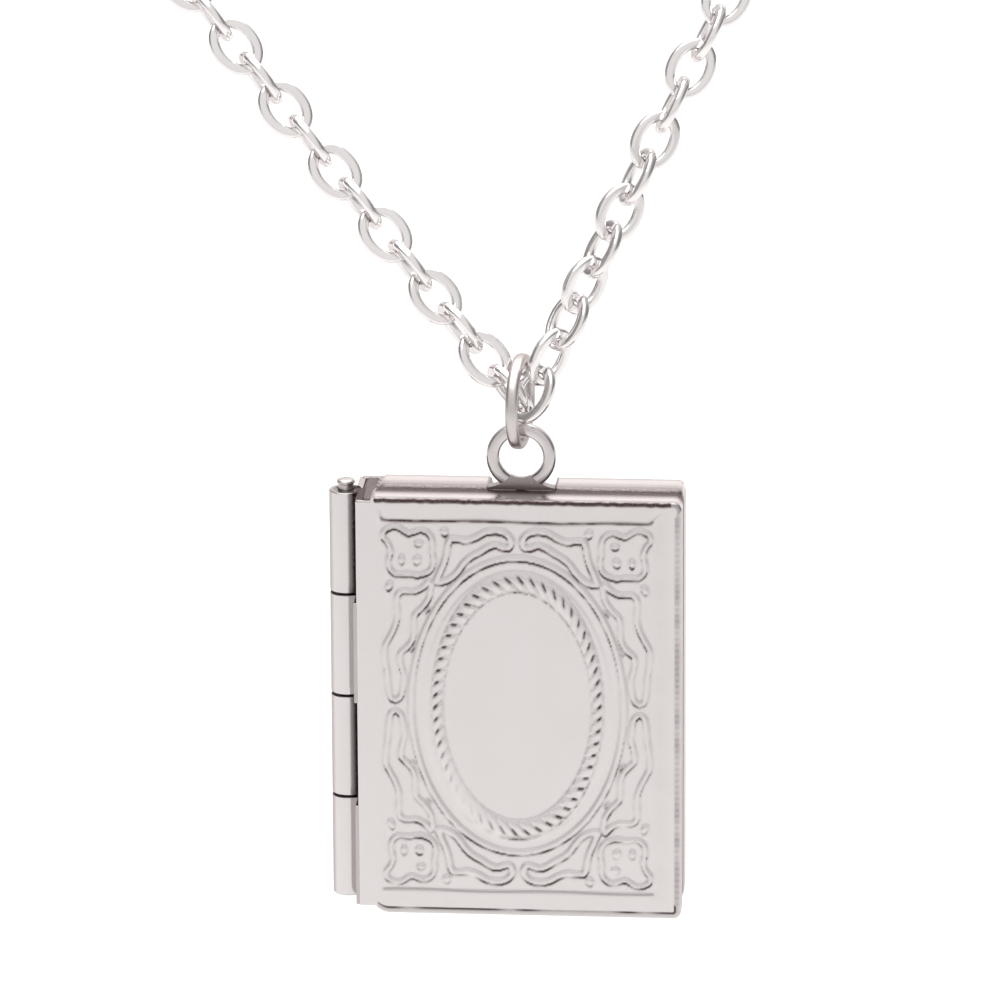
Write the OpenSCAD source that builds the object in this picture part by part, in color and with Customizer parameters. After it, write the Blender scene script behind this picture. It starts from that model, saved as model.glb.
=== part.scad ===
/* [Chain] */
// Distance between link centres along the right leg, mm
pitch = 2.36; // [2.3:0.01:2.4]
// Outer length of a link, mm
link_length = 3.8; // [3.78:0.01:3.84]
// Outer width of a link, mm
link_width = 2.9; // [2.8:0.05:3]
// Width of a link's wire in the plane of the link, mm
link_wire = 0.6; // [0.5:0.02:0.6]
// Thickness of a link's flattened wire, mm
link_thick = 0.5; // [0.4:0.02:0.5]
// Half the angle between the two hanging legs, degrees
half_angle = 32.5; // [31:0.25:34]
// Turn of the whole loop to the left about the crossing, degrees
lean = 6.7; // [5:0.1:8]
// Lean back of the front of the loop, degrees from upright
front_slope = 15; // [10:1:20]
// Lean back of the loop round the neck, degrees from upright
neck_slope = 60; // [50:1:70]

/* [Jump ring] */
// Radius of the jump ring to the middle of its wire, mm
ring_radius = 2.55; // [2.5:0.05:2.6]
// Thickness of the jump ring's wire along its radius, mm
ring_wire = 0.6; // [0.5:0.05:0.6]
// Width of the jump ring's wire along its axis, mm
ring_band = 0.75; // [0.65:0.05:0.75]
// Turn of the jump ring about the upright, degrees
ring_turn = -7.4; // [-8:0.1:-6]

/* [Covers] */
// Width of each cover, mm
cover_width = 19.5; // [18:0.5:21]
// Height of each cover, mm
cover_height = 26; // [24:0.5:28]
// Depth of each cover, mm
cover_depth = 2.6; // [2.2:0.1:3]
// Sheet thickness, mm
sheet = 0.4; // [0.3:0.05:0.5]
// Corner radius seen from the front, mm
corner = 0.5; // [0.45:0.05:1]
// Clearance on each side of the parting plane, mm
parting = 0.06; // [0.05:0.01:0.1]

/* [Hinge] */
// Outer radius of the hinge barrel, mm
barrel_radius = 1; // [0.9:0.05:1]
// Radius of the hinge pin, mm
pin_radius = 0.45; // [0.4:0.05:0.5]
// Clearance between knuckles, mm
knuckle_gap = 0.1; // [0.08:0.02:0.2]

/* [Ear] */
// Outer radius of the hanging ear, mm
ear_radius = 2.08; // [2:0.02:2.2]
// Radius of the hole in the ear, mm
ear_hole = 1.29; // [1.2:0.02:1.35]
// Thickness of the ear, mm
ear_thick = 0.75; // [0.6:0.05:0.8]

/* [Hidden] */
silver = [0.86, 0.85, 0.84];

// How the two first links hook into each other inside the jump ring
first_left = 1.19;
first_right = 1.1;
roll_left = 64.7;
roll_right = 33.7;
forward_left = -0.55;
forward_right = 0.25;
beside_left = 0.14;
beside_right = 0.25;
tip_left = 1.5;
tip_right = -0.8;
rest_roll = 75;
settle_links = 8;
count_left = 93;
count_right = 93;
sway = 2;
sway_links = 24;

// Closure behind the neck, measured from its middle
clasp_thick = 0.8;
eye_at = 4.2;
eye_hole = 0.75;
eye_outer = 1.25;
hook_at = 3.6;
hook_hole = 1.2;
hook_outer = 1.8;
clasp_neck = 2;
clasp_sag = -0.17;
end_wire = 0.6;
end_radius = 1.5;
in_hole = end_wire / 2 + 0.2;
eye_ring_at = eye_at + eye_hole - in_hole + end_radius;
hook_ring_at = hook_at + hook_hole - in_hole + end_radius;
link_in_ring = 0.43 + link_length / 2;
last_right = eye_ring_at + link_in_ring;
last_left = hook_ring_at + link_in_ring;

// The loop: two straight legs that run into a circle, drawn on a bent sheet
half_loop = first_right + (count_right - 1) * pitch + last_right;
pitch_left = (half_loop - last_left - first_left) / (count_left - 1);
turn_angle = 90 + half_angle;
loop_radius = half_loop / (1 / tan(half_angle) + turn_angle * PI / 180);
leg = loop_radius / tan(half_angle);
centre_up = loop_radius / sin(half_angle);
bend_from = 55;
bend_radius = 60;
bend_to = bend_from + bend_radius * (neck_slope - front_slope) * PI / 180;

function heading(s) = s < leg ? half_angle : half_angle - (s - leg) / loop_radius * 180 / PI;
function flat_point(s, side) = s < leg
    ? [side * s * sin(half_angle), s * cos(half_angle)]
    : [side * loop_radius * cos(heading(s)), centre_up - loop_radius * sin(heading(s))];
function leant(p) = [p[0] * cos(lean) - p[1] * sin(lean), p[0] * sin(lean) + p[1] * cos(lean)];
function slope(v) = v < bend_from ? front_slope
    : v < bend_to ? front_slope + (v - bend_from) / bend_radius * 180 / PI : neck_slope;
function sheet_y(v) = min(v, bend_from) * sin(front_slope)
    + bend_radius * (cos(front_slope) - cos(max(front_slope, slope(v))))
    + max(0, v - bend_to) * sin(neck_slope);
function sheet_z(v) = min(v, bend_from) * cos(front_slope)
    + bend_radius * (sin(max(front_slope, slope(v))) - sin(front_slope))
    + max(0, v - bend_to) * cos(neck_slope);
function on_sheet(p) = [p[0], sheet_y(p[1]), sheet_z(p[1])];
function spot(s, side) = on_sheet(leant(flat_point(s, side)));
function way_flat(s, side) = leant([side * sin(heading(s)), cos(heading(s))]);
function way(s, side) = let (w = way_flat(s, side), a = slope(leant(flat_point(s, side))[1]))
    [w[0], w[1] * sin(a), w[1] * cos(a)];
function facing(s, side) = let (a = slope(leant(flat_point(s, side))[1])) [0, -cos(a), sin(a)];

// The mount sits at the middle of the closure, and the crossing hangs below it
nape = spot(half_loop, 1);
ring_at = [-0.056, 0.724, 0.192];
ear_up = 1.96;
ear_side = 0.1;
ear_gap = 0.16;
locket_at = [ring_at[0] - ear_side / 2, ring_at[1],
    ring_at[2] - ring_radius + ring_wire / 2 + ear_gap - ear_hole - ear_up];
tab_width = 3.8;

// Hinge heights below the top of the covers
barrel_x = -cover_width / 2 - 0.6;
barrel_top = -0.2;
barrel_length = 25.4;
knuckle = barrel_length / 4;
bore = pin_radius + 0.04;
relief = barrel_radius + 0.14;
leaf_width = 1.1;
leaf_short = 0.4;

module placed(s, side, roll, tip = 0, beside = 0, forward = 0) {
    n = facing(s, side);
    leg_way = way(s, side);
    out = cross(leg_way, n);
    t = leg_way * cos(tip) - out * sin(tip);
    w = cross(t, n) * cos(roll) + n * sin(roll);
    b = cross(t, w);
    p = spot(s, side) + out * beside + n * forward;
    multmatrix([[t[0], w[0], b[0], p[0]], [t[1], w[1], b[1], p[1]],
        [t[2], w[2], b[2], p[2]], [0, 0, 0, 1]])
        children();
}

module pill(long, wide) {
    square([long - wide, wide], center = true);
    for (end = [-1, 1])
        translate([end * (long - wide) / 2, 0]) circle(d = wide, $fn = 24);
}

module link() {
    linear_extrude(link_thick, center = true)
        difference() {
            pill(link_length, link_width);
            pill(link_length - 2 * link_wire, link_width - 2 * link_wire);
        }
}

function settled(k) = max(0, 1 - k / settle_links);
function wobble(k) = k < sway_links && k > 1 ? sway * sin(k * 97) : 0;

module links(side, count, first, step, start_roll, tip, beside, forward) {
    for (k = [0 : count - 1])
        placed(first + k * step, side,
            rest_roll + (start_roll - rest_roll) * settled(k) + 90 * k + wobble(k),
            tip * settled(k), beside * settled(k), forward * settled(k))
            link();
}

module round_ring(radius, wire) {
    rotate_extrude($fn = 48)
        translate([radius, 0])
            circle(d = wire, $fn = 24);
}

module clasp_shape() {
    difference() {
        union() {
            translate([-eye_at, 0]) circle(r = eye_outer, $fn = 32);
            translate([hook_at, 0]) circle(r = hook_outer, $fn = 48);
            translate([-eye_at, -clasp_neck / 2]) square([eye_at + hook_at, clasp_neck]);
        }
        translate([-eye_at, 0]) circle(r = eye_hole, $fn = 32);
        translate([hook_at, 0]) circle(r = hook_hole, $fn = 48);
    }
}

module panel(left, right, top, bottom) {
    for (x = [left + corner, right - corner])
        for (z = [bottom + corner, top - corner])
            translate([x, z]) circle(r = corner, $fn = 32);
    translate([left + corner, bottom]) square([right - left - 2 * corner, top - bottom]);
    translate([left, bottom + corner]) square([right - left, top - bottom - 2 * corner]);
}

// A folded tray whose open side faces the parting plane, face at the given side
module tray(face) {
    outer = cover_width / 2;
    rotate([90, 0, 0])
        translate([0, 0, face > 0 ? parting : -cover_depth])
            difference() {
                linear_extrude(cover_depth - parting)
                    panel(-outer, outer, 0, -cover_height);
                translate([0, 0, face > 0 ? -1 : sheet])
                    linear_extrude(cover_depth - parting - sheet + 1)
                        square_hole();
            }
}

module square_hole() {
    outer = cover_width / 2;
    translate([-outer + sheet, -cover_height + sheet])
        square([cover_width - 2 * sheet, cover_height - 2 * sheet]);
}

module barrel_piece(index, radius, extra) {
    translate([barrel_x, 0, barrel_top - (index + 1) * knuckle + knuckle_gap / 2 - extra])
        cylinder(r = radius, h = knuckle - knuckle_gap + 2 * extra, $fn = 48);
}

module pin_bore() {
    translate([barrel_x, 0, barrel_top - barrel_length - 1])
        cylinder(r = bore, h = barrel_length + 2, $fn = 48);
}

module in_locket() {
    color(silver) translate(locket_at - nape) children();
}

module front_cover() {
    outer = cover_width / 2;
    in_locket() difference() {
        union() {
            tray(1);
            for (i = [1, 3]) barrel_piece(i, barrel_radius, 0);
        }
        pin_bore();
        for (i = [0, 2]) barrel_piece(i, relief, knuckle_gap);
        translate([ear_side - tab_width / 2 - 0.15, -ear_thick / 2 - 0.15, -sheet - 0.1])
            cube([tab_width + 0.3, ear_thick, sheet + 1]);
        for (z = [-leaf_short, -cover_height - 1])
            translate([-outer - 1, -cover_depth - 1, z])
                cube([leaf_width + 1, cover_depth + 2, leaf_short + 1]);
    }
}

module back_cover() {
    in_locket() difference() {
        union() {
            tray(-1);
            for (i = [0, 2]) barrel_piece(i, barrel_radius, 0);
            translate([ear_side, ear_thick / 2, ear_up]) rotate([90, 0, 0])
                cylinder(r = ear_radius, h = ear_thick, $fn = 64);
            translate([ear_side - tab_width / 2, -ear_thick / 2, -sheet])
                cube([tab_width, ear_thick, sheet + ear_up - ear_hole - 0.4]);
        }
        pin_bore();
        for (i = [1, 3]) barrel_piece(i, relief, knuckle_gap);
        translate([ear_side, ear_thick, ear_up]) rotate([90, 0, 0])
            cylinder(r = ear_hole, h = 2 * ear_thick, $fn = 64);
    }
}

module hinge_pin() {
    head = 0.55;
    rise = 0.3;
    in_locket() translate([barrel_x, 0, 0]) {
        translate([0, 0, barrel_top - barrel_length + 0.1])
            cylinder(r = pin_radius, h = barrel_length, $fn = 48);
        translate([0, 0, barrel_top + 0.02])
            intersection() {
                cylinder(r = head, h = 1, $fn = 48);
                translate([0, 0, rise + 0.3 - 0.8]) sphere(r = 0.8, $fn = 48);
            }
    }
}

module hung() {
    color(silver) translate(-nape) children();
}

module end_ring(s, side) {
    hung() placed(s, side, 0) round_ring(end_radius, end_wire);
}

module end_ring_left() {
    end_ring(half_loop - hook_ring_at, -1);
}

module end_ring_right() {
    end_ring(half_loop - eye_ring_at, 1);
}

module chain_left() {
    hung() links(-1, count_left, first_left, pitch_left, roll_left,
        tip_left, beside_left, forward_left);
}

module chain_right() {
    hung() links(1, count_right, first_right, pitch, roll_right,
        tip_right, beside_right, forward_right);
}

module clasp() {
    hung()
        placed(half_loop, 1, 90)
            translate([0, 0, clasp_sag])
                linear_extrude(clasp_thick, center = true)
                    clasp_shape();
}

module jump_ring() {
    hung()
        translate(ring_at)
            rotate([0, 0, ring_turn])
                rotate([0, 90, 0])
                    rotate_extrude($fn = 48)
                        translate([ring_radius, 0])
                            rotate([0, 0, 90])
                                pill(ring_band, ring_wire);
}

chain_left();
chain_right();
end_ring_left();
end_ring_right();
clasp();
jump_ring();
back_cover();
front_cover();
hinge_pin();
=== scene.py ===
import math

import bmesh
import bpy
import numpy as np
from mathutils import Matrix, Vector


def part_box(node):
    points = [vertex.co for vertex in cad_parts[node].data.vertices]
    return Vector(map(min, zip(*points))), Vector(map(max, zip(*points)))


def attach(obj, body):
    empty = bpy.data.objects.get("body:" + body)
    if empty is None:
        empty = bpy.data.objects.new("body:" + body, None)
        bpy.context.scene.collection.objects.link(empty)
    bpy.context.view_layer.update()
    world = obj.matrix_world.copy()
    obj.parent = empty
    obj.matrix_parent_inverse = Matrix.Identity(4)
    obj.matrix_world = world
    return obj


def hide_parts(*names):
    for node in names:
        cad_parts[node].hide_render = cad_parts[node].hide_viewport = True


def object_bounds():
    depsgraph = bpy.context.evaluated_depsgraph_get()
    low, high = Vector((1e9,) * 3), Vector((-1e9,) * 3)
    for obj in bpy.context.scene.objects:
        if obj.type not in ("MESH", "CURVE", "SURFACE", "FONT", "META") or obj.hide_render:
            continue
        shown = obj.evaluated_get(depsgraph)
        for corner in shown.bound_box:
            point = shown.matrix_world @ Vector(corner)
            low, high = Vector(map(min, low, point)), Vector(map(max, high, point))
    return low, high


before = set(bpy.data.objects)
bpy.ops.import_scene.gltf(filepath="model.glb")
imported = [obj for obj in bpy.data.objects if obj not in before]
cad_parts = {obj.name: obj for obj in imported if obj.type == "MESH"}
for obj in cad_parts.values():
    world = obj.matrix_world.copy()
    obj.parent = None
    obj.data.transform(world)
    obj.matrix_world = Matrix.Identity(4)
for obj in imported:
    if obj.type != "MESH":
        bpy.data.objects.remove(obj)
cad_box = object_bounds()
MM = 0.001


# Shader maths
class Socket:
    """A shader socket that can be used in plain arithmetic."""

    def __init__(self, tree, socket):
        self.tree, self.socket = tree, socket

    def _math(self, operation, a, b):
        return self.tree.node("ShaderNodeMath", {"operation": operation}, {0: a, 1: b})

    def __add__(self, other):
        return self._math("ADD", self, other)

    def __radd__(self, other):
        return self._math("ADD", other, self)

    def __sub__(self, other):
        return self._math("SUBTRACT", self, other)

    def __rsub__(self, other):
        return self._math("SUBTRACT", other, self)

    def __mul__(self, other):
        return self._math("MULTIPLY", self, other)

    def __rmul__(self, other):
        return self._math("MULTIPLY", other, self)

    def clamped(self):
        return self.tree.node("ShaderNodeClamp", {}, {"Value": self})


class Shader:
    """One material and the nodes that feed its surface."""

    def __init__(self, name):
        self.material = bpy.data.materials.new(name)
        self.material.use_nodes = True
        self.tree = self.material.node_tree
        self.tree.nodes.clear()
        self.surface = self.tree.nodes.new("ShaderNodeBsdfPrincipled")
        output = self.tree.nodes.new("ShaderNodeOutputMaterial")
        self.tree.links.new(self.surface.outputs[0], output.inputs[0])

    def put(self, target, value):
        if isinstance(value, Socket):
            self.tree.links.new(value.socket, target)
        else:
            target.default_value = value

    def node(self, kind, settings, values, out=0):
        made = self.tree.nodes.new(kind)
        for key, value in settings.items():
            setattr(made, key, value)
        for key, value in values.items():
            self.put(made.inputs[key], value)
        return Socket(self, made.outputs[out])

    def place(self):
        return self.node("ShaderNodeTexCoord", {}, {}, "Object")

    def noise(self, size, detail, stretch=(1, 1, 1)):
        at = self.node("ShaderNodeVectorMath", {"operation": "MULTIPLY"}, {0: self.place(), 1: stretch})
        return self.node("ShaderNodeTexNoise", {}, {"Vector": at, "Scale": 1 / size, "Detail": detail})

    def tint(self, amount, first, second):
        return self.node("ShaderNodeMix", {"data_type": "RGBA"}, {0: amount, 6: first, 7: second}, 2)

    def attribute(self, name):
        return self.node("ShaderNodeAttribute", {"attribute_name": name}, {}, "Fac")

    def bump(self, height, strength, distance):
        return self.node("ShaderNodeBump", {}, {"Height": height, "Strength": strength, "Distance": distance})

    def set(self, **values):
        for key, value in values.items():
            self.put(self.surface.inputs[key.replace("_", " ")], value)
        return self.material


# Finishes
CLOUDS, SCRATCHES, GRAIN = 2.5 * MM, 0.25 * MM, 0.12 * MM
# the dark brown that painted shade and tarnish blend towards
SHADE_AND_TARNISH = (0.062, 0.037, 0.035, 1)
BLACK_SHADE_FROM = 0.97  # past this amount the painted shade and tarnish turn dull and nearly black, and soon hardly metal


def silver(name, bright, dull, rough, scratch, grazing, with_shade_and_tarnish=False):
    """Silver between a bright and a dull colour, darkened by painted shade and tarnish where the mesh's
    attribute says so.
    """
    s = Shader(name)
    cloud = s.noise(CLOUDS, 3.0)
    fine = s.noise(SCRATCHES, 2.0, (1, 1, 0.12))
    shade = (cloud * 1.6 - 0.4).clamped()
    colour = s.tint(shade, (*bright, 1), (*dull, 1))
    roughness = rough + 0.05 * cloud + 0.04 * fine
    metal = 1.0
    if with_shade_and_tarnish:
        metal = 1.0 - 0.85 * ((s.attribute("shade_and_tarnish") - BLACK_SHADE_FROM) * 33.0).clamped()
        grain = s.noise(GRAIN, 2.0)
        # worn here is the amount of painted shade and tarnish, broken up by fine grain
        worn = (s.attribute("shade_and_tarnish") * (0.75 + 0.5 * grain)).clamped()
        colour = s.tint(worn, colour, SHADE_AND_TARNISH)
        roughness = roughness + 0.25 * worn
    return s.set(Base_Color=colour, Metallic=metal, Roughness=roughness, Specular_Tint=(*grazing, 1),
                 Normal=s.bump(fine, scratch, 0.01 * MM))


PLATE = silver("silver_face", bright=(0.75, 0.716, 0.719), dull=(0.73, 0.695, 0.693), rough=0.13,
               scratch=0.03, grazing=(0.77, 0.73, 0.72), with_shade_and_tarnish=True)
WIRE = silver("silver_wire", bright=(0.91, 0.885, 0.88), dull=(0.85, 0.83, 0.825), rough=0.08,
              scratch=0.04, grazing=(0.64, 0.61, 0.605))
DULL = silver("silver_dull", bright=(0.68, 0.64, 0.63), dull=(0.56, 0.525, 0.515), rough=0.27,
              scratch=0.1, grazing=(0.6, 0.56, 0.55))


# Mesh tools
def even_normals(mesh):
    """Vertex normals weighted by face area, so a wide flat face stays flat up to its rounded edge."""
    count = len(mesh.polygons)
    normal, area = np.empty(count * 3, np.float32), np.empty(count, np.float32)
    sides, corner = np.empty(count, np.int32), np.empty(len(mesh.loops), np.int32)
    mesh.polygons.foreach_get("normal", normal)
    mesh.polygons.foreach_get("area", area)
    mesh.polygons.foreach_get("loop_total", sides)
    mesh.loops.foreach_get("vertex_index", corner)
    weight = np.repeat(normal.reshape(-1, 3) * area[:, None], sides, axis=0)
    total = np.zeros((len(mesh.vertices), 3))
    np.add.at(total, corner, weight)
    total /= np.maximum(np.linalg.norm(total, axis=1, keepdims=True), 1e-20)
    mesh.normals_split_custom_set_from_vertices(total.tolist())


def make(name, verts, faces, material):
    """A smooth mesh object with one material, put in the scene."""
    mesh = bpy.data.meshes.new(name)
    mesh.from_pydata([tuple(v) for v in verts], [], [tuple(int(i) for i in f) for f in faces])
    mesh.materials.append(material)
    mesh.validate()
    mesh.shade_smooth()
    even_normals(mesh)
    obj = bpy.data.objects.new(name, mesh)
    bpy.context.scene.collection.objects.link(obj)
    return obj


def finish_piece(obj, body, node):
    """Lets a finished piece ride on its body and stand for its node."""
    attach(obj, body)
    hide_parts(node)


def join(pieces):
    """The points and faces of several pieces as those of one."""
    verts, faces, count = [], [], 0
    for v, f in pieces:
        verts.append(v)
        faces += [tuple(int(i) + count for i in q) for q in f]
        count += len(v)
    return np.vstack(verts), faces


def grid_faces(rows, cols, close_rows=False, close_cols=False, flip=False):
    """The four-sided faces over rows and columns of points, closed round either way where asked."""
    r = np.arange(rows if close_rows else rows - 1)
    c = np.arange(cols if close_cols else cols - 1)
    rr, cc = np.meshgrid(r, c, indexing="ij")
    a = rr * cols + cc
    b = rr * cols + (cc + 1) % cols
    d = (rr + 1) % rows * cols + cc
    e = (rr + 1) % rows * cols + (cc + 1) % cols
    return np.stack([a, d, e, b] if flip else [a, b, e, d], -1).reshape(-1, 4)


def band_ring(radius, half_wide, half_thick, power, turns, around):
    """A closed ring in the XZ plane whose wire section is a squared oval."""
    t = np.linspace(0, 2 * math.pi, turns, endpoint=False)
    p = np.linspace(0, 2 * math.pi, around, endpoint=False)
    c, s = np.cos(p), np.sin(p)
    across = np.sign(c) * abs(c) ** (2 / power) * half_wide
    deep = np.sign(s) * abs(s) ** (2 / power) * half_thick
    r = radius + across
    x = np.cos(t)[:, None] * r[None, :]
    z = np.sin(t)[:, None] * r[None, :]
    y = np.broadcast_to(deep, x.shape)
    faces = grid_faces(turns, around, close_rows=True, close_cols=True)
    return np.stack([x, y, z], -1).reshape(-1, 3), faces


def block(low, high, radius):
    """A box with rounded edges, from a rounded outline lofted with rounded ends."""
    quarter = np.linspace(0, math.pi / 2, 4)
    insets = [radius * (1 - math.sin(q)) for q in quarter]
    rises = [radius * (1 - math.cos(q)) for q in quarter]
    levels = [(i, low[2] + r) for i, r in zip(insets, rises)]
    levels += [(i, high[2] - r) for i, r in zip(insets[::-1], rises[::-1])]
    verts = []
    for inset, z in levels:
        r = max(radius - inset, 1e-6)
        for turn, (sx, sy) in enumerate(((1, 1), (-1, 1), (-1, -1), (1, -1))):
            cx = (high[0] if sx > 0 else low[0]) - sx * radius
            cy = (high[1] if sy > 0 else low[1]) - sy * radius
            for q in quarter:
                a = q + turn * math.pi / 2
                verts.append((cx + r * math.cos(a), cy + r * math.sin(a), z))
    n = len(verts) // len(levels)
    faces = [tuple(f) for f in grid_faces(len(levels), n, close_cols=True)]
    faces.append(tuple(range(n))[::-1])
    faces.append(tuple(range(len(verts) - n, len(verts))))
    return np.array(verts), faces


def lathe(profile, turns):
    """A solid of revolution about Z from a list of (radius, height), closed on the axis or on itself."""
    t = np.linspace(0, 2 * math.pi, turns, endpoint=False)
    rings = np.array([[(r * math.cos(a), r * math.sin(a), z) for a in t] for r, z in profile])
    if profile[0][0] > 0:
        faces = grid_faces(len(profile), turns, close_rows=True, close_cols=True)
        return rings.reshape(-1, 3), [tuple(f) for f in faces]
    wall = rings[1:-1].reshape(-1, 3)
    verts = np.vstack([wall, [(0, 0, profile[0][1])], [(0, 0, profile[-1][1])]])
    faces = [tuple(f) for f in grid_faces(len(profile) - 2, turns, close_cols=True)]
    low, high, top = len(wall), len(wall) + 1, len(wall) - turns
    faces += [(low, (i + 1) % turns, i) for i in range(turns)]
    faces += [(high, top + i, top + (i + 1) % turns) for i in range(turns)]
    return verts, faces


# Known places
# A cover's half width, its height and its depth, then its sheet, its rim's clearance and its corner radius
WIDE, TALL, DEEP = 9.75 * MM, 26 * MM, 2.6 * MM
SHEET, PARTING, CORNER = 0.4 * MM, 0.06 * MM, 0.5 * MM
# The side of the parting plane that a cover is on
FRONT, BACK = 1, -1
# Home is the covers' top middle on the parting plane. The leaf, barrel and ear are measured from it
front_low, front_high = [np.array(v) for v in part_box("front_cover")]
HOME = np.array([front_high[0] - WIDE, front_low[1] + DEEP, front_high[2]])
LEAF = -WIDE + 1.1 * MM
BARREL_X, BARREL_TOP, KNUCKLE = -10.35 * MM, -0.2 * MM, 6.35 * MM
EAR_RIGHT, EAR_UP = 0.1, 1.96  # the middle of the ear's eye, in mm
EAR_X = EAR_RIGHT * MM
ring_low, ring_high = [np.array(v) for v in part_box("jump_ring")]
RING_AT = (ring_low + ring_high) / 2


# Chains
LINK = {"Length": 3.78 * MM, "Width": 2.9 * MM, "Wire": 0.65 * MM, "Thickness": 0.54 * MM,
        "Rounding": 0.2 * MM, "Finish": WIRE}
RING_TURN = 90 - 7.4  # degrees about the vertical


def link_places(node):
    """Centre, long axis and width axis of each link, from the node's own solids."""
    work = bmesh.new()
    work.from_mesh(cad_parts[node].data)
    bmesh.ops.remove_doubles(work, verts=work.verts, dist=1e-6)
    work.verts.ensure_lookup_table()
    seen, places = set(), []
    for start in work.verts:
        if start.index in seen:
            continue
        seen.add(start.index)
        stack, part = [start], []
        while stack:
            v = stack.pop()
            part.append(v.co[:])
            for e in v.link_edges:
                o = e.other_vert(v)
                if o.index not in seen:
                    seen.add(o.index)
                    stack.append(o)
        p = np.array(part)
        middle = p.mean(0)
        _, axes = np.linalg.eigh(np.cov((p - middle).T))
        places.append((middle, axes[:, 2], axes[:, 1]))
    work.free()
    return places


class Tree:
    """A geometry tree whose nodes come from one call."""

    def __init__(self, name):
        self.group = bpy.data.node_groups.new(name, "GeometryNodeTree")

    def enter(self, name, kind):
        self.group.interface.new_socket(name, in_out="INPUT", socket_type=kind)

    def node(self, kind, settings=None, **values):
        made = self.group.nodes.new(kind)
        for key, value in (settings or {}).items():
            setattr(made, key, value)
        for key, value in values.items():
            name = key.replace("_", " ")
            numbered = name[0] == "i" and name[1:].isdigit()
            target = made.inputs[int(name[1:]) if numbered else name]
            if isinstance(value, bpy.types.NodeSocket):
                self.group.links.new(value, target)
            else:
                target.default_value = value
        return made


def link_tree():
    """A tree that puts one oval link of rounded wire at each point, turned by the point's two axes."""
    t = Tree("chain_links")
    t.enter("Geometry", "NodeSocketGeometry")
    for name in ("Length", "Width", "Wire", "Thickness", "Rounding"):
        t.enter(name, "NodeSocketFloat")
    t.enter("Finish", "NodeSocketMaterial")
    t.group.interface.new_socket("Geometry", in_out="OUTPUT", socket_type="NodeSocketGeometry")
    start = t.group.nodes.new("NodeGroupInput").outputs

    def calc(operation, a, b):
        return t.node("ShaderNodeMath", {"operation": operation}, i0=a, i1=b).outputs[0]

    def named(name):
        return t.node("GeometryNodeInputNamedAttribute", {"data_type": "FLOAT_VECTOR"}, Name=name).outputs[0]

    radius = calc("MULTIPLY", calc("SUBTRACT", start["Width"], start["Wire"]), 0.5)
    reach = calc("MULTIPLY", calc("SUBTRACT", start["Length"], start["Wire"]), 0.5)
    circle = t.node("GeometryNodeCurvePrimitiveCircle", {"mode": "RADIUS"}, Resolution=44, Radius=radius)
    stretch = t.node("ShaderNodeCombineXYZ", X=calc("DIVIDE", reach, radius), Y=1.0, Z=1.0)
    place = t.node("GeometryNodeInputPosition").outputs[0]
    moved = t.node("ShaderNodeVectorMath", {"operation": "MULTIPLY"}, i0=place, i1=stretch.outputs[0])
    shaped = t.node("GeometryNodeSetPosition", Geometry=circle.outputs[0], Position=moved.outputs[0])
    level = t.node("GeometryNodeSetCurveNormal", {"mode": "Z_UP"}, i0=shaped.outputs[0])
    section = t.node("GeometryNodeCurvePrimitiveQuadrilateral", {"mode": "RECTANGLE"},
                     Width=start["Wire"], Height=start["Thickness"])
    soft = t.node("GeometryNodeFilletCurve", {"mode": "POLY"},
                  Curve=section.outputs[0], Radius=start["Rounding"], Count=3)
    tube = t.node("GeometryNodeCurveToMesh", Curve=level.outputs[0], Profile_Curve=soft.outputs[0])
    smooth = t.node("GeometryNodeSetShadeSmooth", Geometry=tube.outputs[0])
    turn = t.node("FunctionNodeAxesToRotation", {"primary_axis": "X", "secondary_axis": "Y"},
                  i0=named("along"), i1=named("across"))
    put = t.node("GeometryNodeInstanceOnPoints",
                 Points=start["Geometry"], Instance=smooth.outputs[0], Rotation=turn.outputs[0])
    real = t.node("GeometryNodeRealizeInstances", Geometry=put.outputs[0])
    done = t.node("GeometryNodeSetMaterial", Geometry=real.outputs[0], Material=start["Finish"])
    t.group.links.new(done.outputs[0], t.group.nodes.new("NodeGroupOutput").inputs[0])
    return t.group


def chain(name, node, tree):
    """One half of the chain, with a link where each of the node's solids is."""
    places = link_places(node)
    mesh = bpy.data.meshes.new(name + "_points")
    mesh.from_pydata([tuple(p[0]) for p in places], [], [])
    for label, column in (("along", 1), ("across", 2)):
        data = mesh.attributes.new(label, "FLOAT_VECTOR", "POINT")
        data.data.foreach_set("vector", np.concatenate([p[column] for p in places]).astype(np.float32))
    obj = bpy.data.objects.new(name + "_points", mesh)
    bpy.context.scene.collection.objects.link(obj)
    mod = obj.modifiers.new("links", "NODES")
    mod.node_group = tree
    for item in tree.interface.items_tree:
        if item.in_out == "INPUT" and item.name in LINK:
            mod[item.identifier] = LINK[item.name]
    seen = obj.evaluated_get(bpy.context.evaluated_depsgraph_get())
    result = bpy.data.objects.new(name, bpy.data.meshes.new_from_object(seen))
    bpy.context.scene.collection.objects.link(result)
    bpy.data.objects.remove(obj)
    finish_piece(result, "chain", node)


def end_ring(node):
    """The round ring at one end of the chain, in the plane of its node."""
    middle, along, across = link_places(node)[0]
    v, f = band_ring(1.5 * MM, half_wide=0.3 * MM, half_thick=0.3 * MM, power=2, turns=64, around=16)
    v = v[:, :1] * along + v[:, 2:3] * across + v[:, 1:2] * np.cross(along, across) + middle
    finish_piece(make(node + "_wire", v, f[:, ::-1], WIRE), "chain", node)


def jump_ring():
    """The ring between the chain and the ear, nearly edge on from the front."""
    v, f = band_ring(2.55 * MM, half_wide=0.3 * MM, half_thick=0.375 * MM, power=2.6, turns=128, around=24)
    turn = np.array(Matrix.Rotation(math.radians(RING_TURN), 3, "Z"))
    finish_piece(make("jump_ring_wire", v @ turn.T + RING_AT, f, DULL), "ring", "jump_ring")


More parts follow.
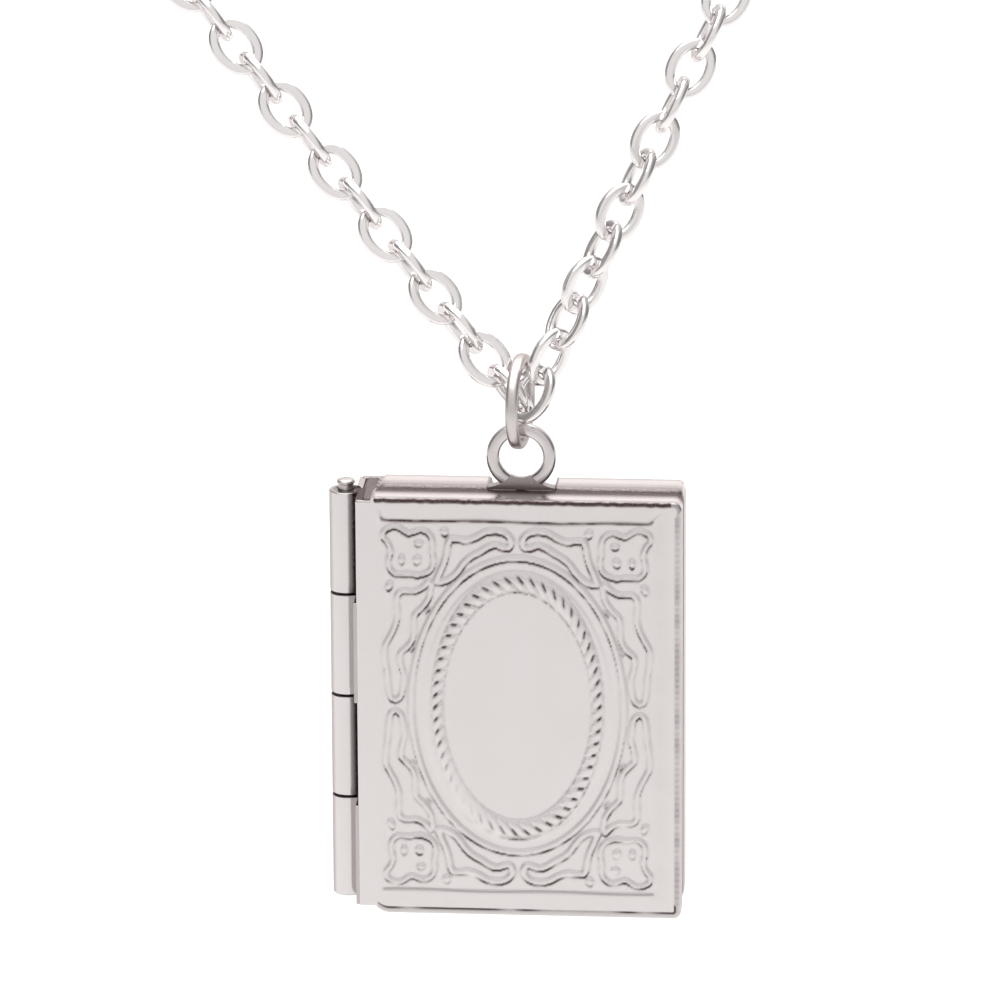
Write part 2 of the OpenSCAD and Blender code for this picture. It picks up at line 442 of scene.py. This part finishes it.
links = link_tree()
chain("links_left", "chain_left", links)
chain("links_right", "chain_right", links)
end_ring("end_ring_left")
end_ring("end_ring_right")
jump_ring()


# Pattern on cover
# One pattern unit across and up, and how far below home the pattern's middle is
PX_X, PX_Z = 0.0594 * MM, 0.0623 * MM
MIDDLE_Z = -12.92 * MM
# Half sizes of the sunk panel and of the ovals in pattern units, and how far up the ovals' middle is
PANEL, FIELD, BORDER = (139.5, 185.5), (94.3, 135.5), (106.7, 147.8)
ROPE, OVAL_UP = (80.5, 124.0), 1.5
# The rope's strands, how far they slant, and where it is worn, as an angle round the oval
STRANDS, SLANT, WORN_AT = 54, 0.85, 2.3

# Raised lines of one quarter, as (out from the middle, up from the middle) in pattern units
LOBED_RIM = [(128, 177), (122, 178.5), (116, 177), (109, 172.5), (103, 173.5), (97, 175.5), (91, 174.5),
             (86, 170), (84, 163), (84.5, 155), (83, 147), (84.5, 139), (89, 134), (97, 131), (103, 131),
             (109, 132), (115, 131.5), (122, 132), (127, 137), (128, 145), (126, 154), (128.5, 162),
             (133, 168), (132.5, 173.5)]
UPPER_SCROLL = [(81, 125), (76, 136), (72.5, 144), (70, 153), (68.5, 162), (65.5, 167), (57.5, 167),
                (49.5, 166.5), (40.5, 169.5), (31.5, 174.5), (22.5, 176), (14, 175), (8, 171), (5.5, 165),
                (8.5, 159.5), (14.5, 160), (20.5, 162), (27.5, 160.5), (36.5, 155), (45.5, 150),
                (52.5, 144), (57.5, 137), (64.5, 129.5), (71.5, 125.5), (79, 124)]
SIDE_SCROLL = [(88, 125), (95, 118), (104, 114.5), (113, 115), (118.5, 112), (120.5, 105), (119.5, 90.5),
               (123, 77.5), (129, 66), (132.5, 58), (132, 44), (130, 31), (129, 18), (127, 8), (122, 5.5),
               (118, 8), (116, 12), (114.5, 21), (114, 31), (116, 39), (117.5, 47), (116.5, 53), (110, 59),
               (105, 66), (103, 76), (103, 85), (101.5, 92), (94, 99.5), (88, 108.5), (86.5, 115.5),
               (85, 122)]
# Each line with whether it is closed, its height in mm and its half width in pattern units
LINES = ((LOBED_RIM, True, 0.12, 2.3), (UPPER_SCROLL, False, 0.13, 2.9), (SIDE_SCROLL, False, 0.11, 2.5))
# Raised drops, as (out, up, half width, half height, tilt in degrees)
DROPS = [(98, 162.5, 4.8, 3.6, 0), (115, 146, 3.2, 5.6, 0), (99.5, 146, 4.4, 5.2, 20),
         (72, 174.5, 4.2, 5, -20), (127.5, 120, 3.5, 6, 20), (89.5, 96, 1.4, 4.2, 40),
         (105, 57.5, 1.4, 4.4, 35)]
# Heights in mm: the panel under the frame, a drop, the border, the rope and its grooves, and the field
SUNK, DROP_HIGH, BORDER_HIGH, ROPE_HIGH, GROOVE_DEEP, FIELD_HIGH = -0.09, 0.13, 0.12, 0.2, 0.13, 0.05


def bell(distance, width, power=2):
    """1 at no distance, falling to nothing past the width."""
    return np.exp(-(distance / width) ** power)


def ramp(value, start, length):
    """0 up to the start, then rising to 1 over the length."""
    return np.clip((value - start) / length, 0, 1)


def dome(reach):
    """1 in the middle of a round top, 0 from its rim on."""
    return np.sqrt(np.clip(1 - reach ** 2, 0, 1))


def rise(distance, half, soft=1.3):
    """1 on a raised line, falling to 0 over its edge."""
    t = np.clip((half + soft / 2 - distance) / soft, 0, 1)
    return t * t * (3 - 2 * t)


def curve_through(points, closed):
    """A smooth line through the points, in six steps from each to the next."""
    p = np.array(points, float)
    n = len(p)
    out = []
    for i in range(n if closed else n - 1):
        near = [(i + k) % n if closed else min(max(i + k, 0), n - 1) for k in (-1, 0, 1, 2)]
        a, b, c, d = p[near]
        bend, twist = 2 * a - 5 * b + 4 * c - d, 3 * b - a - 3 * c + d
        for t in np.linspace(0, 1, 6, endpoint=False):
            out.append(0.5 * (2 * b + (c - a) * t + bend * t * t + twist * t ** 3))
    out.append(p[0] if closed else p[-1])
    return np.array(out)


def line_distance(x, y, line):
    """Distance from a line where it is near, and a very large number elsewhere."""
    margin, best = 9, np.full(x.shape, 1e9)
    for (ax, ay), (bx, by) in zip(line[:-1], line[1:]):
        near = (x > min(ax, bx) - margin) & (x < max(ax, bx) + margin)
        near &= (y > min(ay, by) - margin) & (y < max(ay, by) + margin)
        if not near.any():
            continue
        px, py = x[near], y[near]
        dx, dy = bx - ax, by - ay
        t = np.clip(((px - ax) * dx + (py - ay) * dy) / max(dx * dx + dy * dy, 1e-9), 0, 1)
        best[near] = np.minimum(best[near], np.hypot(px - ax - t * dx, py - ay - t * dy))
    return best


def oval(x, y, a, b):
    """Signed distance from an oval, near enough close to it."""
    r = np.hypot(x / a, y / b)
    slope = np.hypot(x / a ** 2, y / b ** 2) / np.maximum(r, 1e-6)
    return (r - 1) / np.maximum(slope, 1e-6)


def rope(u, v):
    """How far across the oval rope, -1 to 1, how near a groove, 0 to 1, and what wear has left of it."""
    a, b = ROPE
    v = v - OVAL_UP
    angle = np.arctan2(-v / b, u / a)
    around = np.linspace(-math.pi, math.pi, 721)
    steps = np.hypot(a * np.sin(around), b * np.cos(around))
    length = np.concatenate([[0], np.cumsum((steps[1:] + steps[:-1]) / 2)]) * (around[1] - around[0])
    half = 5.8 + 4.0 * np.sin(angle) ** 2
    across = oval(u, v, a, b) / half
    phase = (np.interp(angle, around, length) + SLANT * half * across) * STRANDS / length[-1]
    return across, abs((phase % 1) - 0.5) * 2, 1 - 0.6 * bell(angle - WORN_AT, 0.5)


def pattern(u, v):
    """Height of the stamped pattern in mm at pattern units right of and up from the middle."""
    x, y = abs(u), abs(v)
    height = SUNK * rise(x - PANEL[0], -3, 9) * rise(y - PANEL[1], 0, 2.4)
    for points, closed, high, half in LINES:
        height += high * rise(line_distance(x, y, curve_through(points, closed)), half)
    for cx, cy, rx, ry, tilt in DROPS:
        c, s = math.cos(math.radians(tilt)), math.sin(math.radians(tilt))
        dx, dy = (x - cx) * c + (y - cy) * s, (y - cy) * c - (x - cx) * s
        height += DROP_HIGH * dome(np.hypot(dx / rx, dy / ry))
    height += BORDER_HIGH * rise(abs(oval(x, v - OVAL_UP, *BORDER)), 2.8)
    across, groove, worn = rope(u, v)
    height += worn * dome(across) * (ROPE_HIGH - GROOVE_DEEP * ramp(groove, 0.62, 0.38) ** 1.2)
    return height + FIELD_HIGH * rise(oval(u, v - OVAL_UP, *FIELD), 0, 2)


def dark_lines(high, xs, zs):
    """Painted shade under the pattern's down-facing edges and on its steep sides, shade and tarnish in its
    grooves and along the panel's top and bottom, and a little darker towards the right edge.
    """
    down = np.gradient(high, zs, axis=1)
    side = np.gradient(high, xs, axis=0)
    hollow = np.gradient(down, zs, axis=1) + np.gradient(side, xs, axis=0)
    x, z = xs[:, None] / MM, zs[None, :] / MM
    uneven = 0.62 + 0.5 * np.sin(2.3 * x + 1.9 * np.sin(1.7 * z)) * np.sin(2.9 * z + 1.3 * np.sin(2.1 * x))
    # painted shade under down-facing edges, a little stronger towards the top
    dark = (uneven + 0.02 * (z + 18)) * np.clip(2.8 * (down - 0.2), 0, 1)
    dark += 0.2 * ramp(abs(side), 0.3, 1) + 0.2 * ramp(hollow * 0.12 * MM, 0.3, 1)
    u, v = xs[:, None] / PX_X, (zs[None, :] - MIDDLE_Z) / PX_Z
    across, groove, worn = rope(u, v)
    dash = ramp(groove, 0.72, 0.16) * bell(across - 0.3, 0.36, 4) * (worn - 0.35) / 0.65
    dark = np.maximum(dark * (1 - 0.5 * (abs(across) < 1)), (1.1 + 0.5 * uneven) * dash)
    wave = 0.9 * np.sin(u * 0.045) - 3.5 * bell(abs(u) - PANEL[0] + 2, 4) * (v > 0)
    frame_line = bell(abs(v) - PANEL[1] + wave, 1.2 + 0.2 * np.sign(v)) * (abs(u) < PANEL[0] - 3)
    dark = np.maximum(dark, (0.65 + 0.2 * np.sign(v)) * frame_line)
    for _ in range(2):
        dark = 0.72 * dark + 0.14 * (np.roll(dark, 1, 0) + np.roll(dark, -1, 0))
        dark = dark.T
    # a little darker towards the right edge, in waves
    side_dark = 0.05 * ramp(x, 7.5, 1.0) * (0.7 + 0.3 * np.sin(2.1 * z + np.sin(5.3 * z)))
    return np.clip(1.2 * dark + side_dark, 0, 0.95)


# Covers
RELIEF = 0.47  # stamped height against the drawn one
NOTCH = 1.98 * MM  # half width of the notch round the ear's foot
OWN = {FRONT: (1, 3), BACK: (0, 2)}  # each cover's knuckles, counted from 0 at the top
# Half sizes of the stamped face's grid in pattern units, the plain face's edges in mm, and their points
STAMPED_HALF, STAMPED_GRID = (143.5, 190), (226, 292)
PLAIN_EDGES, PLAIN_GRID = (-8.4, 9, -25.2, -0.8), (160, 40)
# The outer wall from the face towards the parting plane, as (inset, depth) in mm
WALL = {
    FRONT: ((0, 2.35), (0, 2.15), (0, 1.95), (0, 1.8), (0, 1.6), (0, 1.4), (0, 1.2), (0.01, 1.0),
            (0.02, 0.8), (0.04, 0.5), (0.07, 0.25), (0.13, 0.1)),
    BACK: ((0, 2.05), (0, 1.8), (0, 1.6), (0, 1.4), (0, 1.2), (0, 1.0), (0, 0.8), (0, 0.6), (0.01, 0.4),
           (0.05, 0.2), (0.12, 0.1)),
}
# Painted shade in bands on the top wall, as (depth in mm, amount)
TOP_TONE = {
    FRONT: ((0.9, 0.95), (1.14, 0.82), (1.31, 0.6), (1.48, 0.38), (1.65, 0.2), (1.85, 0), (2.1, 0),
            (2.25, 0.1), (2.4, 0.45)),
    BACK: ((0.1, 0.85), (0.3, 0.66), (0.5, 0.46), (0.7, 0.34), (0.85, 0.3), (1.0, 0.24), (1.2, 0.1),
           (1.4, 0.02), (1.8, 0), (2.0, 0.16), (2.2, 0.46), (2.5, 0.5)),
}


def face_grid(face):
    """The columns and rows of points of a cover's face, and the stamped height at each."""
    if face == BACK:
        left, right, bottom, top = PLAIN_EDGES
        xs = np.linspace(left, right, PLAIN_GRID[0]) * MM
        zs = np.linspace(bottom, top, PLAIN_GRID[1]) * MM
        return xs, zs, np.zeros(PLAIN_GRID)
    xs = np.linspace(-STAMPED_HALF[0], STAMPED_HALF[0], STAMPED_GRID[0]) * PX_X
    zs = MIDDLE_Z + np.linspace(-STAMPED_HALF[1], STAMPED_HALF[1], STAMPED_GRID[1]) * PX_Z
    gx, gz = np.meshgrid(xs, zs, indexing="ij")
    return xs, zs, pattern(gx / PX_X, (gz - MIDDLE_Z) / PX_Z) * MM


def rim_stations(face):
    """The rings from the face over its fold, down the wall and up the inside, as (inset, depth)."""
    fold = 0.14 * MM if face == FRONT else 0.45 * MM
    lip = WALL[face][-1][0] * MM
    flat = (0.58, 0.46, 0.38, 0.32, 0.28, 0.24, 0.2, 0.17) if face == FRONT else (0.58, 0.46)
    stations = [(w * MM, DEEP) for w in flat]
    for q in np.linspace(0, math.pi / 2, 5):
        stations.append((fold * (1 - math.sin(q)), DEEP - fold * (1 - math.cos(q))))
    stations += [(w * MM, d * MM) for w, d in WALL[face]]
    stations += [(lip + 0.06 * MM, PARTING), (SHEET, PARTING + 0.02 * MM)]
    stations += [(SHEET, DEEP - SHEET - 0.08 * MM), (SHEET, DEEP - SHEET)]
    return stations + [(SHEET + 0.1 * MM, DEEP - SHEET)]


def cover_outline(rect_x, rect_z, inset):
    """Where a point on the grid's edge lands on the cover's rounded outline, moved in by inset."""
    right, top, bottom = WIDE - inset, -inset, -TALL + inset
    radius = max(CORNER - inset, 0.02 * MM)
    fx = (rect_x - rect_x.min()) / (rect_x.max() - rect_x.min())
    fz = (rect_z - rect_z.min()) / (rect_z.max() - rect_z.min())
    left = LEAF - 0.05 * (0.6 * MM - inset)
    x, z = left + fx * (right - left), bottom + fz * (top - bottom)
    for cz, s in ((top - radius, 1), (bottom + radius, -1)):
        cx = right - radius
        corner = (x > cx) & ((z - cz) * s > 0)
        dx, dz = x[corner] - cx, z[corner] - cz
        scale = np.maximum(abs(dx), abs(dz)) / np.maximum(np.hypot(dx, dz), 1e-9)
        x[corner], z[corner] = cx + dx * scale, cz + dz * scale
    near_leaf = np.clip(1 - (x - LEAF) / (0.9 * MM), 0, 1) ** 2
    return x, z + 0.5 * MM * near_leaf * ramp(1.3 * MM - TALL - z, 0, 0.9 * MM)


def back_top(inset, x, z):
    """Lowers the top of the back cover round the ear's foot and at the hinge end."""
    notch = ramp(NOTCH - abs(x - EAR_X), 0, 0.16 * MM) * (z > -0.6 * MM)
    z = z - notch * 0.55 * MM * (1 - inset / (0.7 * MM))
    end = np.clip(0.9 - (x - LEAF) / (0.6 * MM), 0, 1) * (z > -0.6 * MM)
    return z - 0.3 * MM * end * (inset < SHEET)


def wall_tone(face, deep, upper):
    """Painted shade at one depth of the outer walls: in bands on top, even at the side, dark at the parting.
    """
    side_tone = 0.3 + 0.35 * bell(deep / MM - 2.2, 0.25)
    line = np.interp(deep / MM, *np.transpose(TOP_TONE[face])) * upper
    line = np.maximum(line, side_tone * (1 - upper))
    return np.maximum(line, 0.75 * bell(deep - PARTING, 0.3 * MM, 4))


def fold_tone(inset, x, z, upper, lower):
    """Painted shade along the stamped face's fold: a dark line above and a broken one below; the side is
    darker too, in waves.
    """
    square = np.clip((WIDE - 0.5 * MM - x) / (0.15 * MM), 0.5, 1)
    rough = 0.14 * MM + 0.018 * MM * np.sin(x / MM * 5.1 + 2 * np.sin(x / MM * 2.3))
    line = 0.97 * bell(inset - rough, 0.16 * MM, 4) * upper * square
    broken = 0.6 + 0.35 * np.sin(x / MM * 1.3 + 2 * np.sin(x / MM * 0.9))
    line += (broken * bell(inset - 0.38 * MM, 0.09 * MM) + 0.2) * lower
    side_dark = 0.34 + 0.1 * np.sin(z / MM * 2.3 + 2 * np.sin(z / MM * 0.9)) + 0.07 * np.sin(z / MM * 17)
    return line + side_dark * bell(inset - 0.26 * MM, 0.2 * MM) * ~(upper | lower)


def rim_tone(face, inset, deep, x, z):
    """Painted shade round one ring of the cover's edge, with the crumpled end and the notch."""
    upper, lower = z > -inset - CORNER, z < -TALL + inset + CORNER
    if face == BACK or deep < DEEP - 0.13 * MM:
        line = wall_tone(face, deep, upper)
    else:
        line = fold_tone(inset, x, z, upper, lower)
    crumple = np.clip(1.5 - (x - LEAF) / ((0.2 if face == FRONT else 0.34) * MM), 0, 1)
    crumple *= 0.62 + 0.38 * np.sin(x / MM * 23 + deep / MM * 9)
    line = np.maximum(line * (x > LEAF + 0.2 * MM), 0.9 * crumple * upper * (deep < DEEP - 0.02 * MM))
    if face == BACK:
        line = np.maximum(line, 0.8 * bell(abs(x - EAR_X) - NOTCH, 0.1 * MM) * upper)
    return line


def cover_shell(face):
    """The folded tray right of the hinge leaf: face, rounded fold, outer walls, rim and inner walls."""
    xs, zs, high = face_grid(face)
    gx, gz = np.meshgrid(xs, zs, indexing="ij")
    nx, nz = high.shape
    verts = [np.stack([gx, -face * (DEEP + RELIEF * high), gz], -1).reshape(-1, 3)]
    faces = [grid_faces(nx, nz, flip=face == FRONT)]
    shade = [dark_lines(high, xs, zs).reshape(-1) if face == FRONT else np.zeros(nx * nz)]
    index = np.arange(nx * nz).reshape(nx, nz)
    rim = np.concatenate([index[:-1, 0], index[-1, :-1], index[:0:-1, -1], index[0, :0:-1]])
    rim_x, rim_z = verts[0][rim, 0], verts[0][rim, 2]
    previous, count, n = rim, nx * nz, len(rim)
    for inset, deep in rim_stations(face):
        x, z = cover_outline(rim_x, rim_z, inset)
        if inset >= SHEET:
            x = np.maximum(x, LEAF + inset - SHEET)
        if face == BACK:
            z = back_top(inset, x, z)
        verts.append(np.stack([x, np.full(n, -face * deep), z], -1))
        shade.append(rim_tone(face, inset, deep, x, z) * (inset <= SHEET))
        ring = np.arange(count, count + n)
        quads = np.stack([previous, ring, np.roll(ring, -1), np.roll(previous, -1)], -1)
        faces.append(quads if face == FRONT else quads[:, ::-1])
        previous, count = ring, count + n
    verts.append(verts[-1].mean(0)[None, :])
    shade.append([0])
    fan = np.stack([previous, np.full(n, count), np.roll(previous, -1)], -1)
    faces.append(fan if face == FRONT else fan[:, ::-1])
    return np.vstack(verts), [tuple(q) for part in faces for q in part], np.concatenate(shade)


def knuckles(face):
    """The cover's own two tubes of the hinge barrel, with softened ends."""
    parts = []
    inner, outer, gap, soft = 0.49 * MM, 1.0 * MM, 0.05 * MM, 0.07 * MM
    shoulder, step = outer - 0.02 * MM, 0.03 * MM
    for i in OWN[face]:
        top, low = BARREL_TOP - i * KNUCKLE - gap, BARREL_TOP - (i + 1) * KNUCKLE + gap
        profile = [(inner, low), (outer - soft, low), (shoulder, low + step), (outer, low + soft),
                   (outer, top - soft), (shoulder, top - step), (outer - soft, top), (inner, top)]
        v, f = lathe(profile, 64)
        parts.append((v + (BARREL_X, 0, 0), f))
    return parts


def leaf(face):
    """The hinge leaf: its face, a side wall at each knuckle, its top, its bottom and the crimp at its end."""
    low, high, edge = -TALL + 0.4 * MM, -0.18 * MM, -9.56 * MM
    y = sorted((-face * (DEEP + 0.004 * MM), -face * (DEEP - SHEET)))
    parts = [block((edge, y[0], low), (LEAF + 0.3 * MM, y[1], high), 0.12 * MM)]
    for i in range(4):
        top = min(BARREL_TOP - i * KNUCKLE - 0.05 * MM, high)
        down = max(BARREL_TOP - (i + 1) * KNUCKLE + 0.05 * MM, low)
        start, near = -WIDE, 0.2 * MM
        if i not in OWN[face]:
            start, near = edge, 1.0 * MM
            top, down = top + 0.1 * MM, down - 0.1 * MM
        y = sorted((-face * near, -face * (DEEP - 0.1 * MM)))
        parts.append(block((start, y[0], max(down, low)), (start + SHEET, y[1], min(top, high)), 0.06 * MM))
    y = sorted((-face * 0.12 * MM, -face * (DEEP - 0.05 * MM)))
    lift, start = (-0.01 * MM, -9.14 * MM) if face == FRONT else (-0.22 * MM, -9.3 * MM)
    end = LEAF + 0.15 * MM
    parts.append(block((start, y[0] + 0.04 * MM, lift - SHEET), (end, y[1], lift), 0.13 * MM))
    parts.append(block((-9.5 * MM, y[0], low), (end, y[1], low + SHEET), 0.1 * MM))
    crimp_low, crimp_high = lift - 1.2 * SHEET, lift - 0.3 * SHEET
    parts.append(block((-9.6 * MM, y[0] + 0.1 * MM, crimp_low), (-8.9 * MM, y[1] - 0.1 * MM, crimp_high),
                       0.1 * MM))
    return parts


def hinge_tones(face, parts):
    """Painted shade on the two knuckles, darkest in the gap beside the cover and in their seams, and on the
    leaf's face, its side walls, and its top, bottom and crimp.
    """
    tones = []
    for points, _ in parts[:2]:
        aside, turns = (points[:, 0] - BARREL_X) / MM, (BARREL_TOP - points[:, 2]) / KNUCKLE
        gap = 0.4 * ramp(aside, 0.45, 0.2) if face == FRONT else 0.985 * ramp(aside, 0.1, 0.42) ** 1.3
        tone = gap + 0.45 * np.clip(-aside / 0.25 - 2.8, 0, 1)
        seam = (abs(turns - np.round(turns)) < 0.1 * MM / KNUCKLE) * np.where(turns < 0.5, 0.4, 0.9)
        tones.append(np.maximum(tone, seam))
    tones.append(0.55 * (parts[2][0][:, 2] > -0.295 * MM))
    tones += [np.full(len(points), 0.3) for points, _ in parts[3:-3]]
    return tones + [np.full(len(p[0]), tone) for p, tone in zip(parts[-3:], (0.82, 0.1, 0.95))]


def ear():
    """The upright eye on its foot, a little darker all over, with painted shade that is darkest low down
    inside the eye.
    """
    v, f = band_ring(1.685 * MM, half_wide=0.395 * MM, half_thick=0.375 * MM, power=3.2, turns=128, around=24)
    reach = np.hypot(v[:, 0], v[:, 2])
    under = ramp(-v[:, 2] / reach, 0.45, 0.2)
    tone = 0.1 + 0.8 * under * ramp(1.46 * MM - reach, 0, 0.12 * MM) * (v[:, 1] < -0.2 * MM)
    return (v + np.array([EAR_RIGHT, 0, EAR_UP]) * MM, f), tone


def foot(arc, near, far):
    """The foot that flares from the ear down between the covers, hollowed above to an arc, all in mm."""
    side = [(2.0, -0.02), (2.0, 0.1), (1.7, 0.17), (1.35, 0.28), (1.0, 0.45)]
    sweep = np.radians(np.linspace(-62, -118, 13))
    hollow = [(arc * math.cos(a), EAR_UP + arc * math.sin(a)) for a in sweep]
    line = np.array(side + hollow + [(-x, z) for x, z in side[::-1]]) + (EAR_RIGHT, 0)
    middle = line.mean(0)
    rings = []
    for y, scale in ((near, 0.98), (near + 0.03, 1), (far - 0.03, 1), (far, 0.98)):
        p = middle + (line - middle) * scale
        rings.append(np.stack([p[:, 0], np.full(len(p), y), p[:, 1]], -1) * MM)
    n = len(line)
    faces = [tuple(q) for q in grid_faces(4, n, close_cols=True, flip=True)]
    return np.vstack(rings), faces + [tuple(range(n)), tuple(range(3 * n, 4 * n))[::-1]]


def cover(name, face, extra=(), tones=()):
    """One cover with its knuckles, its leaf and anything extra, and the painted shade and tarnish of each as
    an attribute.
    """
    v, f, shade = cover_shell(face)
    hinge = knuckles(face) + leaf(face)
    v, f = join([(v, f), *hinge, *extra])
    obj = make(name, v + HOME, f, PLATE)
    values = np.concatenate([shade, *hinge_tones(face, hinge), *tones]).astype(np.float32)
    obj.data.attributes.new("shade_and_tarnish", "FLOAT", "POINT").data.foreach_set("value", values)
    return obj


finish_piece(cover("front_cover_stamped", FRONT), "front", "front_cover")
eye, eye_tone = ear()
feet = [foot(arc=1.33, near=-0.34, far=0.34), foot(arc=1.2, near=-0.42, far=-0.36)]
# painted shade on the feet, which sit between the covers
foot_tones = [np.full(len(points), 0.5) for points, _ in feet]
back = cover("back_cover_plain", BACK, [eye, *feet], [eye_tone, *foot_tones])
finish_piece(back, "back", "back_cover")


# Pin and clasp
# The pin from its lower end up to its domed head, as (radius, height) in mm
PIN = [(0, -25.5), (0.4, -25.5), (0.45, -25.45), (0.45, 0.06), (0.5, 0.1), (0.54, 0.15), (0.54, 0.25),
       (0.5, 0.32), (0.4, 0.36), (0.2, 0.39), (0, 0.4)]
v, f = lathe([(r * MM, z * MM) for r, z in PIN], 40)
finish_piece(make("hinge_pin_turned", v + HOME + (BARREL_X, 0, 0), f, DULL), "back", "hinge_pin")

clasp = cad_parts["clasp"]
clasp.data.materials.clear()
clasp.data.materials.append(DULL)


# Room, light, camera
def backdrop(floor_z):
    """A pale floor that runs back and curves up into a wall, with its sizes in metres."""
    s = Shader("pale_backdrop")
    s.set(Base_Color=(0.93, 0.925, 0.92, 1), Roughness=0.9)
    front, curve_at, radius, top, half_wide = -3.0, 2.5, 0.7, 4.0, 3.2
    bend = np.linspace(0, math.pi / 2, 13)
    line = [(front, 0)] + [(curve_at + radius * math.sin(q), radius * (1 - math.cos(q))) for q in bend]
    line.append((curve_at + radius, top))
    v = [(x, y, floor_z + z) for y, z in line for x in (-half_wide, half_wide)]
    obj = make("backdrop", v, grid_faces(len(line), 2, flip=True), s.material)


class World(Shader):
    """The soft room light: bright above, behind and in front, dimmer to the two sides."""

    def __init__(self):
        world = bpy.data.worlds.new("studio")
        world.use_nodes = True
        self.tree = world.node_tree
        at = self.node("ShaderNodeSeparateXYZ", {}, {0: self.node("ShaderNodeTexCoord", {}, {}, "Generated")})
        aside = self.node("ShaderNodeMath", {"operation": "ABSOLUTE"}, {0: at})
        dim = self.node("ShaderNodeMapRange", {"interpolation_type": "SMOOTHSTEP"},
                        {"Value": aside, "From Min": 0.45, "From Max": 0.95})
        light = self.tree.nodes["Background"]
        light.inputs[0].default_value = (1, 0.985, 0.98, 1)
        self.put(light.inputs[1], 0.85 - 0.6 * dim)
        bpy.context.scene.world = world


def lamp(name, place, target, size, power):
    """A square lamp that shines at its target, with its size in metres and its power in watts."""
    data = bpy.data.lights.new(name, "AREA")
    data.shape, data.size, data.energy = "SQUARE", size, power
    obj = bpy.data.objects.new(name, data)
    obj.location = place
    obj.rotation_euler = (Vector(target) - Vector(place)).to_track_quat("-Z", "Y").to_euler()
    bpy.context.scene.collection.objects.link(obj)


FLOOR_BELOW = 0.16  # metres from the lowest point of the chain or locket down to the floor
backdrop(cad_box[0][2] - FLOOR_BELOW)
World()
aim = Vector(HOME + (0, 0, -TALL / 2))
lamp("overhead", aim + Vector((-0.15, -0.25, 0.8)), aim, size=0.7, power=3)
lamp("floor_behind", aim + Vector((0, 0.6, 1.0)), aim + Vector((0, 1.0, -0.15)), size=1.0, power=7)
lamp("back_wall", aim + Vector((0, 1.2, 1.8)), aim + Vector((0, 3.2, 0.8)), size=1.6, power=40)

AZIMUTH, ELEVATION, ROLL = math.radians(4.57), math.radians(17.13), math.radians(-0.295)
DISTANCE, SCENE_WIDTH, SENSOR = 0.5, 59.34 * MM, 36
look = Vector(HOME + np.array([-1.150, 0, -0.818]) * MM)
toward = Vector((math.sin(AZIMUTH) * math.cos(ELEVATION), -math.cos(AZIMUTH) * math.cos(ELEVATION),
                 math.sin(ELEVATION)))
level = toward.cross(Vector((0, 0, -1))).normalized()
upright = toward.cross(level)
across = level * math.cos(ROLL) + upright * math.sin(ROLL)
camera_data = bpy.data.cameras.new("camera")
camera_data.sensor_width = SENSOR
camera_data.lens = SENSOR * DISTANCE / SCENE_WIDTH
camera_data.clip_start, camera_data.clip_end = 0.01, 20
camera = bpy.data.objects.new("camera", camera_data)
camera.location = look + DISTANCE * toward
camera.rotation_euler = Matrix((across, toward.cross(across), toward)).transposed().to_euler()
bpy.context.scene.collection.objects.link(camera)
bpy.context.scene.camera = camera
bpy.context.scene.view_settings.view_transform = "Standard"
